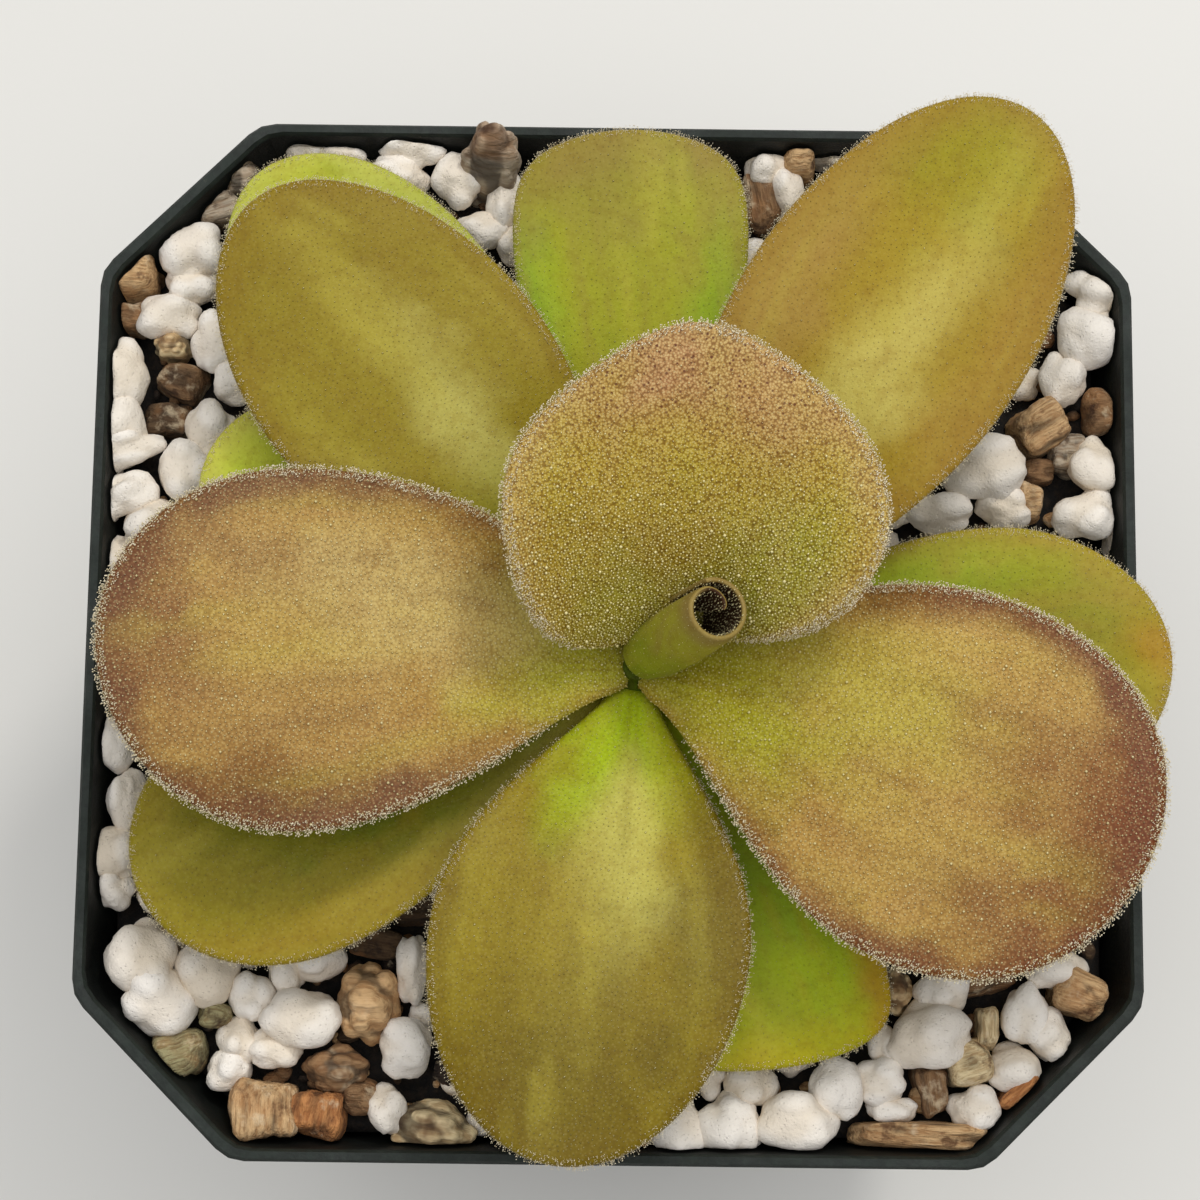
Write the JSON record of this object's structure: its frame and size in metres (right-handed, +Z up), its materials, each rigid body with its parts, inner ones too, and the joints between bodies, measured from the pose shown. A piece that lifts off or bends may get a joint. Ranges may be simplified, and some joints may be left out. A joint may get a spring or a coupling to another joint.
{
  "type": "butterwort",
  "caption": "Butterwort rosette of fleshy spoon-shaped leaves with a rolled young leaf, growing in a square plastic nursery pot of bark and perlite.",
  "frame": {"origin": "centre of the pot's flat underside, on the surface it stands on", "axes": "+Z up, +Y towards the back of the pot, the top of the picture, +X to the right of the picture"},
  "size_m": [0.0776, 0.0763, 0.0886],
  "materials": {
    "pot": "matte",
    "potting_mix": "rough, damp",
    "perlite": "rough, porous",
    "crown_and_roots": "satin",
    "leaf_back_left_lowest": "satin, covered in fine sticky gland hairs",
    "leaf_left_lowest": "satin, covered in fine sticky gland hairs",
    "leaf_back_low": "satin, covered in fine sticky gland hairs",
    "leaf_front_left_low": "satin, covered in fine sticky gland hairs",
    "leaf_front_right_low": "satin, covered in fine sticky gland hairs",
    "leaf_right_low": "satin, covered in fine sticky gland hairs",
    "leaf_front": "satin, covered in fine sticky gland hairs",
    "leaf_back_left": "satin, covered in fine sticky gland hairs",
    "leaf_back_right": "satin, covered in fine sticky gland hairs",
    "leaf_left": "satin, covered in fine sticky gland hairs",
    "leaf_right": "satin, covered in fine sticky gland hairs",
    "leaf_cupped": "satin, covered in fine sticky gland hairs",
    "young_leaf_rolled": "satin, covered in fine gland hairs"
  },
  "bodies": {
    "root": {"pot": "pot", "potting_mix": "potting_mix", "perlite": "perlite", "crown_and_roots": "crown_and_roots", "leaf_back_left_lowest": "leaf_back_left_lowest", "leaf_left_lowest": "leaf_left_lowest", "leaf_back_low": "leaf_back_low", "leaf_front_left_low": "leaf_front_left_low", "leaf_front_right_low": "leaf_front_right_low", "leaf_right_low": "leaf_right_low", "leaf_front": "leaf_front", "leaf_back_left": "leaf_back_left", "leaf_back_right": "leaf_back_right", "leaf_left": "leaf_left", "leaf_right": "leaf_right", "leaf_cupped": "leaf_cupped", "young_leaf_rolled": "young_leaf_rolled"}
  },
  "joints": []
}
